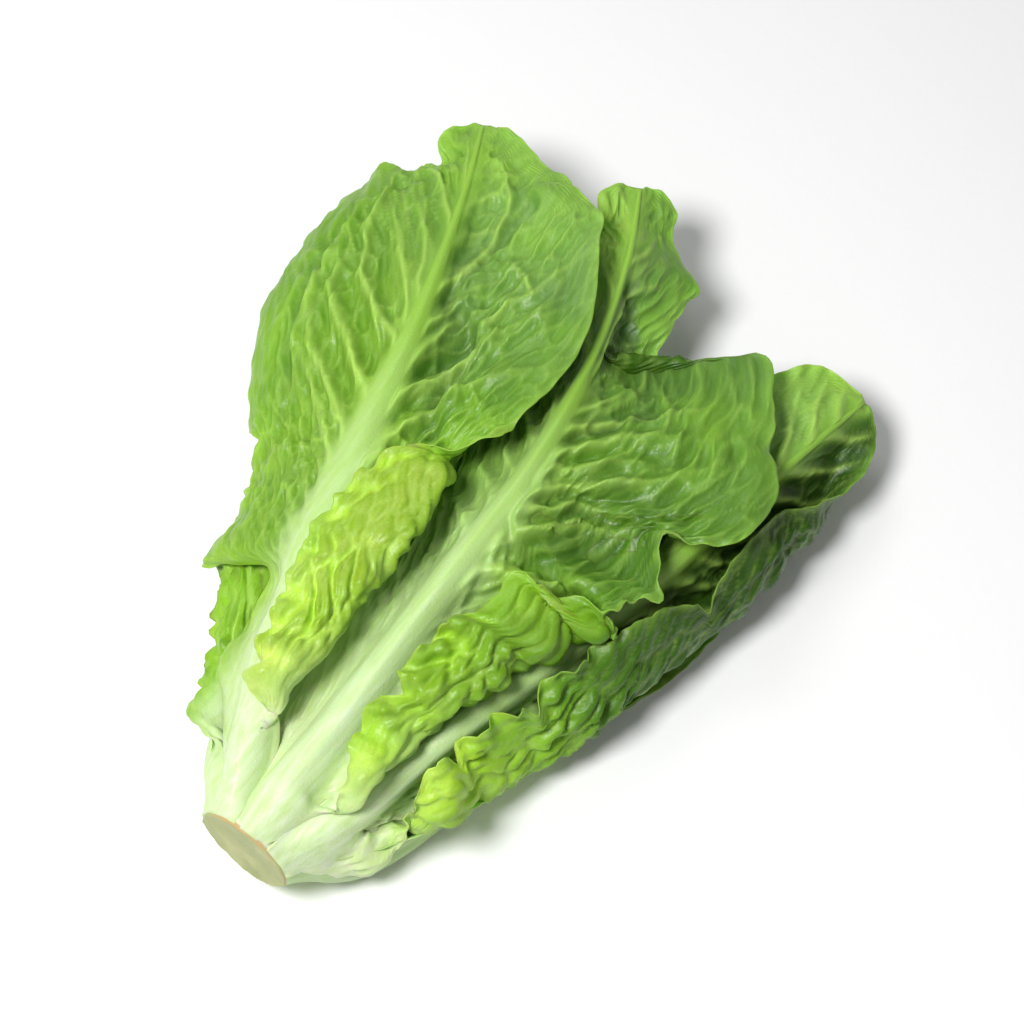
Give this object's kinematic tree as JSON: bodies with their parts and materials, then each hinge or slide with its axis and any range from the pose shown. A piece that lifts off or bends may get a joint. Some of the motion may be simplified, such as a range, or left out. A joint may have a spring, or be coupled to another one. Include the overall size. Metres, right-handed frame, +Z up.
{
  "type": "romaine lettuce head",
  "caption": "Cut head of romaine lettuce lying on its side, with a stem, ruffled outer leaves and a bunch of inner leaves.",
  "frame": {"origin": "on the surface the head lies on, under the middle of its overall box", "axes": "+Y along the head from the cut stem to the leaf tips, +Z up from the surface, +X to the right as seen from the cut stem"},
  "size_m": [0.2394, 0.3198, 0.0809],
  "materials": {
    "stem": "cut lettuce stem, moist, pale olive with a tan rim",
    "outer_leaf": "puckered green blade, glossy on the veins, with a pale, smooth rib",
    "middle_leaf": "tender light green blade with a pale rib",
    "heart_leaf": "yellow-green heart leaf, waxy"
  },
  "bodies": {
    "root": {"stem": "stem", "outer_leaf_top_left": "outer_leaf", "outer_leaf_top": "outer_leaf", "outer_leaf_right": "outer_leaf", "outer_leaf_low_right": "outer_leaf", "outer_leaf_left": "outer_leaf", "outer_leaf_under_left": "outer_leaf", "outer_leaf_under_middle": "outer_leaf", "outer_leaf_under_right": "outer_leaf", "middle_leaf_1": "middle_leaf", "middle_leaf_2": "middle_leaf", "middle_leaf_3": "middle_leaf", "middle_leaf_4": "middle_leaf", "middle_leaf_5": "middle_leaf", "middle_leaf_6": "middle_leaf", "heart_leaf_1": "heart_leaf", "heart_leaf_2": "heart_leaf", "heart_leaf_3": "heart_leaf", "heart_leaf_4": "heart_leaf", "bud_leaf_1": "heart_leaf", "bud_leaf_2": "heart_leaf"}
  },
  "joints": []
}
